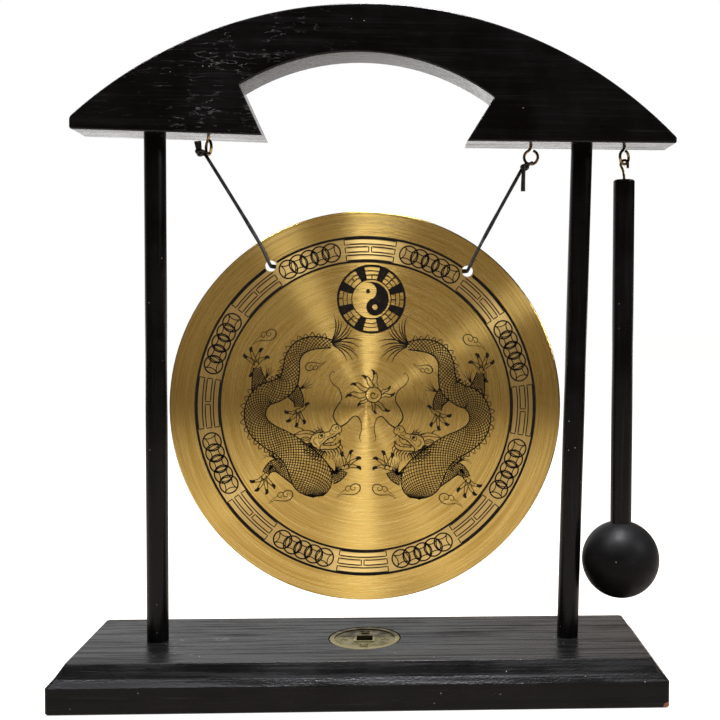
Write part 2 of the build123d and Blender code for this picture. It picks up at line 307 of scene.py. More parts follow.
# ---- mesh helpers
def mesh_object(name, points, faces, material=None, smooth=True):
    """A new mesh object from points and faces, with one material."""
    mesh = bpy.data.meshes.new(name)
    mesh.from_pydata([tuple(p) for p in points], [], faces)
    mesh.validate()
    mesh.polygons.foreach_set("use_smooth", [smooth] * len(mesh.polygons))
    if material:
        mesh.materials.append(material)
    made = bpy.data.objects.new(name, mesh)
    bpy.context.scene.collection.objects.link(made)
    return made


def spline_points(name, route, resolution):
    """Points along the smooth line that has the route as its control points."""
    curve = bpy.data.curves.new(name, "CURVE")
    curve.dimensions = "3D"
    curve.resolution_u = resolution
    spline = curve.splines.new("NURBS")
    spline.points.add(len(route) - 1)
    for point, place in zip(spline.points, route):
        point.co = (*place, 1.0)
    spline.order_u = 3
    spline.use_endpoint_u = True
    holder = bpy.data.objects.new(name, curve)
    bpy.context.scene.collection.objects.link(holder)
    bpy.context.view_layer.update()
    line = bpy.data.meshes.new_from_object(holder)
    points = [v.co.copy() for v in line.vertices]
    bpy.data.objects.remove(holder)
    bpy.data.meshes.remove(line)
    return points


def neighbours(path, closed):
    """The points before and after each point; an open path's ends stand in for themselves."""
    ahead = path[1:] + (path[:1] if closed else path[-1:])
    back = (path[-1:] if closed else path[:1]) + path[:-1]
    return zip(back, ahead)


def tangents(path, closed=False):
    """The direction of the path at each of its points."""
    return [(after - before).normalized() for before, after in neighbours(path, closed)]


def carried_normals(path, first, closed=False):
    """A normal at each point, carried along the path without any twist of its own."""
    along = tangents(path, closed)
    normal = (first - along[0] * first.dot(along[0])).normalized()
    normals = [normal]
    for before, after in zip(along, along[1:]):
        normal = before.rotation_difference(after) @ normal
        normals.append((normal - after * normal.dot(after)).normalized())
    return normals


def tube(name, path, normals, sections, material, closed=False):
    """A tube of elliptical section; sections: (half width, half thickness, twist) per point."""
    along = tangents(path, closed)
    points, faces = [], []
    for centre, t, normal, (width, thickness, twist) in zip(path, along, normals, sections):
        thin = Matrix.Rotation(twist, 3, t) @ normal
        wide = t.cross(thin)
        for k in range(CORD_SIDES):
            a = math.tau * k / CORD_SIDES
            points.append(centre + wide * (width * math.cos(a)) + thin * (thickness * math.sin(a)))
    rings = len(path)
    for i in range(rings if closed else rings - 1):
        here, there = i * CORD_SIDES, ((i + 1) % rings) * CORD_SIDES
        for k in range(CORD_SIDES):
            k2 = (k + 1) % CORD_SIDES
            faces.append((here + k, here + k2, there + k2, there + k))
    if not closed:
        faces.append(tuple(reversed(range(CORD_SIDES))))
        faces.append(tuple(range((rings - 1) * CORD_SIDES, rings * CORD_SIDES)))
    return mesh_object(name, points, faces, material)


# ---- materials
class Nodes:
    """A node tree in the making: each call adds a node and returns its output."""

    def __init__(self, tree, place):
        self.tree = tree
        self.place = self.node("TexCoord")[place]

    def put(self, socket, value):
        if isinstance(value, bpy.types.NodeSocket):
            self.tree.links.new(value, socket)
        else:
            socket.default_value = value

    def node(self, kind, values=(), **settings):
        """A new node; values go to its inputs, by their order or by their names."""
        made = self.tree.nodes.new("ShaderNode" + kind)
        for name, setting in settings.items():
            setattr(made, name, setting)
        named = values.items() if isinstance(values, dict) else enumerate(values)
        for socket, value in named:
            self.put(made.inputs[socket], value)
        return made.outputs

    def math(self, operation, *values):
        return self.node("Math", values, operation=operation)[0]

    def vector(self, operation, *values):
        return self.node("VectorMath", values, operation=operation)[0]

    def dot(self, first, second):
        return self.node("VectorMath", (first, second), operation="DOT_PRODUCT")["Value"]

    def parts(self, vector):
        return tuple(self.node("SeparateXYZ", (vector,)))

    def joined(self, *parts):
        return self.node("CombineXYZ", parts)[0]

    def length(self, *parts):
        """The length of a vector with two parts."""
        return self.math("SQRT", self.math("ADD", *[self.math("MULTIPLY", p, p) for p in parts]))

    def noise(self, vector, scale=1.0, detail=3.0, roughness=0.55):
        return self.node("TexNoise", {
            "Vector": vector, "Scale": scale, "Detail": detail, "Roughness": roughness,
        })[0]

    def cells(self, vector, scale):
        """Distance to the nearest of scattered points, and a random value for that point."""
        found = self.node("TexVoronoi", {"Vector": vector, "Scale": scale})
        return found["Distance"], self.parts(found["Color"])[0]

    def stretched(self, scale):
        """The place on the object, scaled per axis, in cycles per metre."""
        return self.vector("MULTIPLY", self.place, scale)

    def near(self, centre, reach):
        """1 at a place and 0 beyond its reach."""
        off = self.vector("SUBTRACT", self.place, centre)
        return self.ramp(self.math("SQRT", self.dot(off, off)), 0.0, reach, 1.0, 0.0)

    def ramp(self, value, low, high, start=0.0, end=1.0):
        """start below low, end above high, smooth between."""
        values = (value, low, high, start, end)
        return self.node("MapRange", values, interpolation_type="SMOOTHSTEP")[0]

    def mix(self, factor, first, second):
        values = {"Factor": factor, 6: first, 7: second}
        return self.node("Mix", values, data_type="RGBA")[2]

    def bump(self, height, distance, strength=1.0):
        values = {"Height": height, "Distance": distance, "Strength": strength}
        return self.node("Bump", values)[0]


class Material(Nodes):
    """A material with its node tree, in the object's own places."""

    def __init__(self, name, **shader_values):
        self.material = bpy.data.materials.new(name)
        self.material.use_nodes = True
        super().__init__(self.material.node_tree, "Object")
        self.shader = self.tree.nodes["Principled BSDF"]
        self.set(**shader_values)

    def set(self, **shader_inputs):
        for socket, value in shader_inputs.items():
            self.put(self.shader.inputs[socket.replace("_", " ")], value)


def grey(value):
    return (value, value, value, 1.0)


GRAIN_LINE = grey(0.05)
CRACK = grey(0.20)
SPECK = (0.35, 0.31, 0.27, 1.0)
BARE_WOOD = (0.22, 0.08, 0.05, 1.0)


def black_paint(name, grain, tone=0.003, gloss=0.22, sheen=0.25, lines=0.15, leather=0.3,
                relief=0.00004, pores=0.1, cracked=None, chipped=None):
    """Black satin paint over wood: grain under the paint, fine pale grain lines, a leathery
    skin, pale specks and dull patches.

    grain: noise scale per axis, in cycles per metre, low along the grain
    tone, gloss, sheen: the paint's grey, its roughness and its reflection
    lines, pores: how pale the grain lines are, and how much duller the open grain is
    leather, relief: share of the skin in the bump, and the bump's depth in metres
    cracked, chipped: a place and a reach for such wear
    """
    m = Material(name, IOR=1.5, Specular_IOR_Level=sheen)
    fibres = m.noise(m.stretched(grain), detail=4.0, roughness=0.6)
    patches = m.noise(m.place, scale=55.0, detail=4.0)
    colour = m.mix(m.ramp(patches, 0.3, 0.75), grey(tone * 0.75), grey(tone * 1.7))
    colour = m.mix(m.ramp(fibres, 0.6, 0.78, 0.0, lines), colour, GRAIN_LINE)
    spot, chance = m.cells(m.place, 420.0)
    specks = m.math("MULTIPLY", m.ramp(spot, 0.05, 0.12, 1.0, 0.0), m.ramp(chance, 0.95, 0.96))
    colour = m.mix(m.math("MULTIPLY", specks, 0.6), colour, SPECK)
    if cracked:
        near = m.near(*cracked)
        field = m.noise(m.stretched((55.0, 240.0, 340.0)), detail=3.5, roughness=0.6)
        line = m.ramp(m.math("ABSOLUTE", m.math("SUBTRACT", field, 0.5)), 0.0, 0.009, 1.0, 0.0)
        broken = m.ramp(m.noise(m.place, scale=160.0), 0.46, 0.6)
        line = m.math("MULTIPLY", m.math("MULTIPLY", line, broken), near)
        colour = m.mix(m.math("MULTIPLY", line, 0.55), colour, CRACK)
    if chipped:
        bare = m.math("ADD", m.near(*chipped), m.noise(m.place, scale=420.0))
        colour = m.mix(m.ramp(bare, 1.0, 1.1), colour, BARE_WOOD)
    skin, _ = m.cells(m.stretched((700.0, 1500.0, 1500.0)), 1.0)
    roughness = m.ramp(patches, 0.25, 0.8, gloss - 0.03, gloss + 0.06)
    coarse = m.noise(m.stretched([0.6 * g for g in grain]), detail=4.0, roughness=0.7)
    roughness = m.math("ADD", roughness, m.ramp(coarse, 0.42, 0.68, 0.0, pores))
    height = m.math("ADD", fibres, m.math("MULTIPLY", skin, leather))
    m.set(Base_Color=colour, Roughness=roughness, Normal=m.bump(height, relief, 0.6))
    return m.material


def tarnished_wire(name):
    """Dark brass wire, bright where it is rubbed."""
    m = Material(name, Metallic=1.0)
    stains = m.noise(m.place, scale=420.0, detail=4.0)
    colour = m.mix(m.ramp(stains, 0.4, 0.65), (0.07, 0.045, 0.018, 1), (0.50, 0.35, 0.14, 1))
    normal = m.bump(m.noise(m.place, scale=2600.0, detail=2.0), 0.00004, 0.6)
    m.set(Base_Color=colour, Roughness=m.ramp(stains, 0.3, 0.7, 0.42, 0.2), Normal=normal)
    return m.material


def aged_brass(name, centre):
    """A worn coin: olive brass, dark dirt in the low places, rubbed rims."""
    m = Material(name, Metallic=1.0)
    _, _, z = m.parts(m.vector("SUBTRACT", m.place, centre))
    stains = m.noise(m.place, scale=240.0, detail=6.0, roughness=0.65)
    high = m.ramp(z, 0.0003, 0.0008)
    colour = m.mix(m.ramp(stains, 0.35, 0.62), (0.05, 0.046, 0.02, 1), (0.19, 0.17, 0.078, 1))
    colour = m.mix(m.math("MULTIPLY", high, 0.55), colour, (0.28, 0.245, 0.12, 1))
    fine = m.noise(m.place, scale=1500.0, detail=3.0)
    normal = m.bump(m.math("ADD", stains, m.math("MULTIPLY", fine, 0.5)), 0.00012, 0.8)
    m.set(Base_Color=colour, Roughness=m.ramp(stains, 0.3, 0.7, 0.62, 0.4), Normal=normal)
    return m.material


def brushed_gong(name, centre, radius, band):
    """Brass brushed in circles, its scratches short arcs, with a paler matte band."""
    m = Material(name, Metallic=1.0, Anisotropic=1.0, Anisotropic_Rotation=0.25)
    tangent = m.node("Tangent", direction_type="RADIAL", axis="Y")[0]
    x, _, z = m.parts(m.vector("SUBTRACT", m.place, centre))
    out = m.length(x, z)
    turn_x = m.math("DIVIDE", x, m.math("MAXIMUM", out, 1e-5))
    turn_z = m.math("DIVIDE", z, m.math("MAXIMUM", out, 1e-5))

    def arcs(around, across, detail):
        """Streaks that follow the circles: few per turn, many per metre outward."""
        parts = [m.math("MULTIPLY", turn_x, around), m.math("MULTIPLY", turn_z, around),
                 m.math("MULTIPLY", out, across)]
        return m.noise(m.joined(*parts), detail=detail, roughness=0.7)

    fine = arcs(2.0, 3400.0, 2.0)
    broad = arcs(1.2, 800.0, 3.0)
    colour = m.mix(m.ramp(fine, 0.3, 0.7), (0.60, 0.39, 0.08, 1), (0.85, 0.645, 0.23, 1))
    colour = m.mix(m.ramp(broad, 0.35, 0.7, 0.0, 0.35), colour, (0.52, 0.32, 0.07, 1))
    inner, outer = band
    edge = 0.004
    in_band = m.math(
        "MULTIPLY",
        m.ramp(out, (inner - edge) * radius, inner * radius),
        m.ramp(out, outer * radius, (outer + edge) * radius, 1.0, 0.0),
    )
    colour = m.mix(m.math("MULTIPLY", in_band, 0.25), colour, (0.86, 0.70, 0.38, 1))
    roughness = m.ramp(broad, 0.25, 0.75, 0.25, 0.31)
    roughness = m.math("ADD", roughness, m.math("MULTIPLY", in_band, 0.05))
    height = m.math("ADD", fine, m.math("MULTIPLY", broad, 0.6))
    normal = m.bump(height, 0.00002, 0.8)
    m.set(Base_Color=colour, Roughness=roughness, Normal=normal, Tangent=tangent)
    return m.material


def waxed_cord(name):
    """Black waxed cord: fine strands along it, grey where the wax is rubbed."""
    m = Material(name, IOR=1.48)
    fine = m.noise(m.place, scale=1900.0, detail=3.0)
    rubbed = m.noise(m.place, scale=420.0, detail=2.0)
    colour = m.mix(m.ramp(rubbed, 0.52, 0.72), grey(0.008), grey(0.05))
    normal = m.bump(fine, 0.00008, 0.7)
    m.set(Base_Color=colour, Roughness=m.ramp(fine, 0.3, 0.7, 0.4, 0.62), Normal=normal)
    return m.material


def printed_ink(name):
    """Black screen ink, a little thin in places."""
    m = Material(name, IOR=1.5, Specular_IOR_Level=0.1)
    thin = m.noise(m.place, scale=900.0, detail=3.0)
    colour = m.mix(m.ramp(thin, 0.5, 0.8), (0.006, 0.005, 0.004, 1), (0.03, 0.02, 0.01, 1))
    m.set(Base_Color=colour, Roughness=m.ramp(thin, 0.3, 0.7, 0.45, 0.6))
    return m.material


# ---- cord
def cord_sections(path):
    """Width, thickness and twist along the cord. It lies flat on the gong and turns on edge
    in its free runs above the rim."""
    sections = []
    for point in path:
        free = smoothstep(0.1685, 0.182, point.z)
        uneven = 1 + 0.07 * noise.noise(point * 260)
        pull = 1 - 0.12 * free
        twist = math.radians(82) * free + math.radians(14) * noise.noise(point * 90) * free
        sections.append((CORD_HALF_WIDTH * pull * uneven, CORD_HALF_THICKNESS * uneven, twist))
    return sections


def make_cord(material):
    """The one cord from knot to knot: over the rim, in at one hole and out at the other."""
    path = spline_points("cord_line", CORD_ROUTE, 18)
    middle = len(path) // 2
    face = Vector((0, 1, 0))
    ahead = carried_normals(path[middle:], face)
    behind = carried_normals(path[middle::-1], face)
    normals = behind[:0:-1] + ahead
    return tube("cord", path, normals, cord_sections(path), material), path


def knot_path(centre, direction, size, turns=96):
    """An overhand knot drawn tight: a closed three-crossing line, longest along direction."""
    along = direction.normalized()
    side = along.cross(Vector((0, 1, 0))).normalized()
    depth = along.cross(side)
    length, height, thickness = size
    path = []
    for i in range(turns):
        t = math.tau * i / turns
        a = (math.sin(t) + 2 * math.sin(2 * t)) / 3
        b = (math.cos(t) - 2 * math.cos(2 * t)) / 3
        c = -math.sin(3 * t)
        path.append(centre + along * (a * length) + side * (b * height) + depth * (c * thickness))
    return path


def closed_tube(name, path, half_width, half_thickness, material):
    normals = carried_normals(path, Vector((0, 1, 0)), closed=True)
    section = (half_width, half_thickness, 0.0)
    return tube(name, path, normals, [section] * len(path), material, closed=True)


def loop_path(centre, axis, radius, turns=48):
    """A circle about an axis."""
    first = axis.orthogonal().normalized()
    second = axis.cross(first).normalized()
    return [
        centre + first * (radius * math.cos(math.tau * i / turns))
        + second * (radius * math.sin(math.tau * i / turns))
        for i in range(turns)
    ]


def joined(name, pieces):
    """One object out of several."""
    points, faces = [], []
    for piece in pieces:
        start = len(points)
        points += [v.co.copy() for v in piece.data.vertices]
        faces += [tuple(start + i for i in p.vertices) for p in piece.data.polygons]
    material = pieces[0].data.materials[0]
    for piece in pieces:
        bpy.data.objects.remove(piece)
    return mesh_object(name, points, faces, material)


def make_knot(name, centre, direction, loop_centre, loop_axis, material):
    """The tight knot and its loop, which passes round the foot of the screw eye's ring."""
    body = closed_tube("body", knot_path(centre, direction, (1.45 * MM, 1.0 * MM, 0.75 * MM)),
                       0.85 * MM, 0.62 * MM, material)
    loop = closed_tube("loop", loop_path(loop_centre, loop_axis, 1.45 * MM),
                       0.5 * MM, 0.42 * MM, material)
    return joined(name, [body, loop])


def make_tail(name, route, half_width, material):
    """A short cord end, cut straight."""
    path = spline_points(name + "_line", route, 12)
    normals = carried_normals(path, Vector((0, 1, 0)))
    count = len(path) - 1
    sections = [
        (half_width * (0.82 + 0.22 * i / count), CORD_HALF_THICKNESS, 0.25 * i / count)
        for i in range(count + 1)
    ]
    return tube(name, path, normals, sections, material)


# ---- printed ornament
class Print:
    """Ink on the gong's face. Points are (u, v): gong radii right of and above its centre."""

    def __init__(self, name, material):
        self.name, self.material = name, material
        self.points, self.faces = [], []

    def _raise(self, outline, front):
        """Adds one vertex per outline point, on the ink's front or sunk under the brass."""
        depth = -INK_RISE if front else INK_ROOT
        start = len(self.points)
        for u, v in outline:
            turned_u = u * math.cos(PRINT_TURN) + v * math.sin(PRINT_TURN)
            turned_v = v * math.cos(PRINT_TURN) - u * math.sin(PRINT_TURN)
            self.points.append((
                GONG_CENTRE.x + turned_u * GONG_RADIUS,
                GONG_FRONT + depth,
                GONG_CENTRE.z + turned_v * GONG_RADIUS,
            ))
        return start

    def line(self, path, width, end_width=None, closed=False, belly=0.0):
        """A stroke along path, width wide in millimetres, or tapering to end_width. A belly
        widens its middle by that much."""
        for run in visible_runs(path, closed):
            last = max(1, len(run) - 1)
            end = width if end_width is None else end_width
            widths = [width + (end - width) * i / last + belly * math.sin(math.pi * i / last)
                      for i in range(len(run))]
            self._stroke(run, widths, closed and len(run) == len(path))

    def _stroke(self, path, widths, closed):
        count = len(path)
        if count < 2:
            return
        left, right = [], []
        for (u, v), width, (before, after) in zip(path, widths, neighbours(path, closed)):
            du, dv = after[0] - before[0], after[1] - before[1]
            length = math.hypot(du, dv) or 1.0
            half = width * 0.5 * MM / GONG_RADIUS
            left.append((u - dv / length * half, v + du / length * half))
            right.append((u + dv / length * half, v - du / length * half))
        a, b = self._raise(left, True), self._raise(right, True)
        c, d = self._raise(left, False), self._raise(right, False)
        for i in range(count if closed else count - 1):
            j = (i + 1) % count
            self.faces += [
                (a + i, a + j, b + j, b + i), (c + i, d + i, d + j, c + j),
                (a + i, c + i, c + j, a + j), (b + i, b + j, d + j, d + i),
            ]
        if not closed:
            last = count - 1
            self.faces += [(a, b, d, c), (a + last, c + last, d + last, b + last)]

    def fill(self, outline, hole=()):
        """A solid black shape, with one hole if given."""
        loops = [list(outline)] + ([list(hole)] if hole else [])
        flat = [[Vector((u, v, 0)) for u, v in loop] for loop in loops]
        triangles = geometry.tessellate_polygon(flat)
        whole = [p for loop in loops for p in loop]
        top, root = self._raise(whole, True), self._raise(whole, False)
        for i, j, k in triangles:
            (u1, v1), (u2, v2), (u3, v3) = whole[i], whole[j], whole[k]
            if (u2 - u1) * (v3 - v1) - (u3 - u1) * (v2 - v1) < 0:
                j, k = k, j
            self.faces += [(top + i, top + j, top + k), (root + i, root + k, root + j)]
        start = 0
        for loop in loops:
            count = len(loop)
            area = sum(
                loop[i][0] * loop[(i + 1) % count][1] - loop[(i + 1) % count][0] * loop[i][1]
                for i in range(count)
            )
            outward = (area > 0) == (loop is loops[0])
            for i in range(count):
                a, b = start + i, start + (i + 1) % count
                a, b = (a, b) if outward else (b, a)
                self.faces.append((top + b, top + a, root + a, root + b))
            start += count

    def finish(self):
        made = mesh_object(self.name, self.points, self.faces, self.material, smooth=False)
        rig.ride(made, "gong")
        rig.slot(made, "gong_print")
        return made


def visible_runs(path, closed):
    """The stretches of a path that aren't over a cord hole."""
    over = [any(math.hypot(u - hu, v - hv) < HOLE_CLEAR for hu, hv in HOLES) for u, v in path]
    if not any(over):
        return [path]
    if closed:
        start = over.index(True)
        path, over = path[start:] + path[:start], over[start:] + over[:start]
    return shown_runs(path, over)


def shown_runs(path, hidden):
    """The stretches of a path between its hidden points."""
    runs, run = [], []
    for point, out_of_sight in zip(path, hidden):
        if out_of_sight:
            runs.append(run)
            run = []
        else:
            run.append(point)
    return [r for r in runs + [run] if len(r) > 1]


def polar(radius, degrees):
    """A point at an angle clockwise from the top."""
    return radius * math.sin(math.radians(degrees)), radius * math.cos(math.radians(degrees))


def placer(place, facing, size):
    """A function that gives the point for (x, y) in a figure placed, turned and sized so."""
    turn = math.radians(facing)

    def at(x, y):
        return (place[0] + size * (x * math.cos(turn) - y * math.sin(turn)),
                place[1] + size * (x * math.sin(turn) + y * math.cos(turn)))

    return at


def arc(centre, radius, start, end, step=6.0):
    """Points of an arc, its angles in degrees clockwise from the top."""
    count = max(2, int(abs(end - start) / step) + 1)
    points = []
    for i in range(count + 1):
        u, v = polar(radius, start + (end - start) * i / count)
        points.append((centre[0] + u, centre[1] + v))
    return points


def circle(centre, radius, sides=48):
    return [
        (centre[0] + radius * math.sin(math.tau * i / sides),
         centre[1] + radius * math.cos(math.tau * i / sides))
        for i in range(sides)
    ]


def smooth_path(points, steps=6):
    """A Catmull-Rom curve through the points, which may carry more than two values each."""
    ends = [points[0]] + list(points) + [points[-1]]
    path = []
    for a, b, c, d in zip(ends, ends[1:], ends[2:], ends[3:]):
        for k in range(steps):
            t = k / steps
            path.append(tuple(
                0.5 * (2 * q + (r - p) * t + (2 * p - 5 * q + 4 * r - s) * t * t
                       + (3 * q - p - 3 * r + s) * t ** 3)
                for p, q, r, s in zip(a, b, c, d)
            ))
    path.append(tuple(points[-1]))
    return path


def bar_outline(low, high, start, end):
    """A curved bar between two radii and two angles."""
    return arc((0, 0), high, start, end, 0.8) + arc((0, 0), low, end, start, 0.8)


def draw_frieze(ink):
    """Two circles, and between them eight three-bar panels and eight chains of linked rings."""
    inner, outer = BAND
    ink.line(circle((0, 0), outer, 720), 0.9, closed=True)
    ink.line(circle((0, 0), inner, 360), 0.8, closed=True)
    middle = (inner + outer) / 2
    for eighth in range(8):
        panel = 45 * eighth
        for level in (-1, 0, 1):
            low = middle + level * BAR_STEP - BAR_WIDTH / 2
            high = low + BAR_WIDTH
            gap = () if level else (-BAR_GAP, BAR_GAP)
            cuts = (-PANEL_HALF, *gap, PANEL_HALF)
            for start, end in zip(cuts[::2], cuts[1::2]):
                ink.line(bar_outline(low, high, panel + start, panel + end), 0.42, closed=True)
        for ring in range(-2, 3):
            draw_ring(ink, polar(middle, panel + 22.5 + ring * RING_STEP), panel + 22.5)


def draw_ring(ink, centre, turn):
    """A ring with four arcs inside, which leave a square with hollow sides."""
    ink.line(circle(centre, RING_RADIUS, 40), 0.56, closed=True)
    for quarter in range(4):
        facing = turn + 90 * quarter
        u, v = polar(RING_RADIUS * math.sqrt(2), facing)
        ink.line(arc((centre[0] + u, centre[1] + v), RING_RADIUS, facing + 135, facing + 225, 11),
                 0.38)


def draw_medallion(ink):
    """The eight trigrams round a yin-yang disc: bare brass bars on a black ring."""
    cu, cv = MEDALLION
    size = MEDALLION_RADIUS

    def at(radius, degrees):
        u, v = polar(radius * size, degrees)
        return cu + u, cv + v

    def ring_piece(low, high, start, end):
        count = max(2, int((end - start) / 3))
        angles = [start + (end - start) * i / count for i in range(count + 1)]
        return [at(high, a) for a in angles] + [at(low, a) for a in reversed(angles)]

    for high, low in ((1.0, 0.935), (0.585, 0.555)):
        ink.fill(*[[at(radius, 5 * i) for i in range(72)] for radius in (high, low)])
    for place, bars in enumerate(TRIGRAMS):
        middle = 45 * place
        ink.fill(ring_piece(0.57, 0.95, middle + TRIGRAM_HALF, middle + 45 - TRIGRAM_HALF))
        for low, high in ((0.811, 0.836), (0.694, 0.719)):
            ink.fill(ring_piece(low, high, middle - TRIGRAM_HALF, middle + TRIGRAM_HALF))
        for (low, high), whole in zip(((0.825, 0.945), (0.71, 0.82), (0.575, 0.70)), bars):
            if not whole:
                half = math.degrees(0.016 / ((low + high) / 2))
                ink.fill(ring_piece(low, high, middle - half, middle + half))

    # the dark half: right of an S of two half circles, with a bare ring and dot left in it
    disc, bend = 0.50, 0.25
    top, foot = YIN_TURN, YIN_TURN + 180
    outline = [at(disc, a) for a in range(top, foot + 1, 6)]
    lower, upper = at(bend, foot), at(bend, top)
    outline += arc(lower, bend * size, foot, foot + 180, 9)[1:]
    outline += arc(upper, bend * size, foot, top, 9)[1:-1]
    ink.fill(outline, circle(lower, 0.078 * size, 20))
    ink.fill(circle(upper, 0.062 * size, 20))


def draw_pearl(ink):
    """A small flaming pearl: a ball with a curl in it and flames that fork as they leave it."""
    cu, cv = PEARL
    ink.line(circle((cu, cv), 0.04, 32), 0.42, closed=True)
    curl = [(cu + r * math.cos(a), cv + r * math.sin(a)) for r, a in
            [(0.004 + 0.0016 * i, 0.5 * i) for i in range(14)]]
    ink.line(curl, 0.5, 0.25)
    flames = [
        ((0.0, 0.04), 125, 0.085), ((0.012, 0.038), 92, 0.095), ((-0.032, 0.024), 150, 0.09),
        ((-0.038, 0.0), 176, 0.105), ((-0.03, -0.024), 205, 0.06), ((0.038, 0.008), 28, 0.06),
        ((0.04, -0.006), 2, 0.07), ((0.012, -0.038), -42, 0.085), ((-0.004, -0.04), -82, 0.06),
    ]
    for (u, v), facing, length in flames:
        draw_flame(ink, (cu + u, cv + v), facing, length)


def draw_flame(ink, foot, facing, length):
    """A tongue of flame: two lines that lean over and meet in a black tip."""
    at = placer(foot, facing, length)
    ink.line(smooth_path([at(0, 0.1), at(0.3, 0.2), at(0.6, 0.12), at(0.8, 0.16)]), 0.28, 0.4)
    ink.line(smooth_path([at(0, -0.12), at(0.3, -0.05), at(0.6, -0.08), at(0.8, 0.0)]), 0.28, 0.4)
    ink.line(smooth_path([at(0.68, 0.06), at(0.86, 0.1), at(1.0, 0.26)]), 0.3, 0.06, belly=0.75)


class Limb:
    """A tapering part of a dragon. Its spine is a smooth line of (u, v, half width), given in
    thousandths of the gong's radius."""

    def __init__(self, spine):
        self.path = smooth_path([[value / 1000 for value in point] for point in spine], 8)
        self.reach = [0.0]
        for (u1, v1, _), (u2, v2, _) in zip(self.path, self.path[1:]):
            self.reach.append(self.reach[-1] + math.hypot(u2 - u1, v2 - v1))
        self.length = self.reach[-1]

    def at(self, distance, across):
        """The point a distance along the spine, and across it: -1 and 1 are its two sides."""
        distance = min(max(distance, 0.0), self.length)
        i = min(bisect.bisect_right(self.reach, distance), len(self.path) - 1)
        (u1, v1, w1), (u2, v2, w2) = self.path[i - 1], self.path[i]
        span = self.reach[i] - self.reach[i - 1] or 1.0
        t = (distance - self.reach[i - 1]) / span
        du, dv = (u2 - u1) / span, (v2 - v1) / span
        offset = across * (w1 + (w2 - w1) * t)
        return u1 + (u2 - u1) * t - dv * offset, v1 + (v2 - v1) * t + du * offset

    def half(self, distance):
        u1, v1 = self.at(distance, 1)
        u2, v2 = self.at(distance, -1)
        return math.hypot(u2 - u1, v2 - v1) / 2

    def covers(self, point):
        return any(math.hypot(point[0] - u, point[1] - v) < w * 0.97 for u, v, w in self.path)

    def side(self, across, start=0.0, end=1.0, step=0.008):
        count = max(2, int(self.length * (end - start) / step))
        return [self.at(self.length * (start + (end - start) * i / count), across)
                for i in range(count + 1)]

    def scale_lines(self, size):
        """Two families of slanting lines that cross into a net of scales of that size."""
        lines = []
        for sense in (-1, 1):
            start = -2 * self.half(0)
            while start < self.length:
                distance, across, line = start, -1.0, []
                while across < 1.0 and distance < self.length:
                    if distance >= 0:
                        line.append(self.at(distance, across * sense))
                    half = max(self.half(distance), 0.01)
                    for share in (0.55, 0.45):
                        across += size * share / half
                        distance += size * (0.7 if share > 0.5 else 0.3)
                        if 0 <= distance < self.length and across < 1.0:
                            line.append(self.at(distance, across * sense))
                if len(line) > 1:
                    lines.append(line)
                start += 2 * size
        return lines


class Placed:
    """Ink for one dragon: mirrored or not, with strokes given in the left dragon's places."""

    def __init__(self, ink, mirrored):
        self.ink, self.mirrored = ink, mirrored

    def _place(self, path):
        return [(2 * MIRROR_LINE - u, v) if self.mirrored else (u, v) for u, v in path]

    def line(self, path, width, end_width=None, closed=False, behind=(), belly=0.0):
        hidden = [any(limb.covers(point) for limb in behind) for point in path]
        for run in shown_runs(path, hidden):
            self.ink.line(self._place(run), width, end_width, closed and not behind, belly)

    def curve(self, points, width, end_width=None, steps=6, belly=0.0):
        self.line(smooth_path(points, steps), width, end_width, belly=belly)

    def fill(self, outline):
        self.ink.fill(self._place(outline))


def moved(point, angle, distance):
    """The point moved so far at an angle (radians, anticlockwise from u)."""
    return point[0] + distance * math.cos(angle), point[1] + distance * math.sin(angle)


def draw_foot(ink, place, facing, size):
    """A spread foot: four toes and a thumb, each an outlined finger with a black talon."""
    for spread, reach in ((-58, 0.8), (-24, 0.95), (8, 1.0), (38, 0.85), (122, 0.75)):
        turn = math.radians(facing + spread)
        curl = math.radians(facing + spread * 1.3 - 10)
        across = turn + math.pi / 2
        knee = moved(place, turn, size * reach * 0.42)
        tip = moved(knee, curl, size * reach * 0.4)
        for side in (-1, 1):
            ink.curve([moved(joint, across, size * half * side)
                       for joint, half in ((place, 0.12), (knee, 0.095), (tip, 0.06))], 0.3, 0.3, 4)
        end = moved(tip, curl, size * 0.12)
        ink.curve([moved(tip, curl, -size * 0.06), end,
                   moved(end, curl - math.radians(50), size * 0.17)], 0.75, 0.1, 4, belly=0.85)


def draw_cloud(ink, place, facing, size):
    """A wisp of cloud: two curls on a base line that runs out into a tail."""
    at = placer(place, facing, size)
    curls = [
        ([(-1.0, -0.25), (-0.55, -0.12), (-0.2, -0.2), (0.2, -0.3), (0.55, -0.22), (0.75, 0.0)],
         0.2, 0.42),
        ([(0.75, 0.0), (0.72, 0.26), (0.45, 0.4), (0.15, 0.3), (0.1, 0.08), (0.28, -0.02),
          (0.42, 0.1), (0.32, 0.2)], 0.42, 0.22),
        ([(0.15, 0.3), (-0.08, 0.36), (-0.25, 0.22), (-0.2, 0.04), (-0.06, 0.02), (-0.04, 0.14)],
         0.34, 0.2),
        ([(-0.25, 0.18), (-0.5, 0.05), (-0.9, -0.12)], 0.28, 0.12),
    ]
    for points, width, end_width in curls:
        ink.curve([at(x, y) for x, y in points], width, end_width)


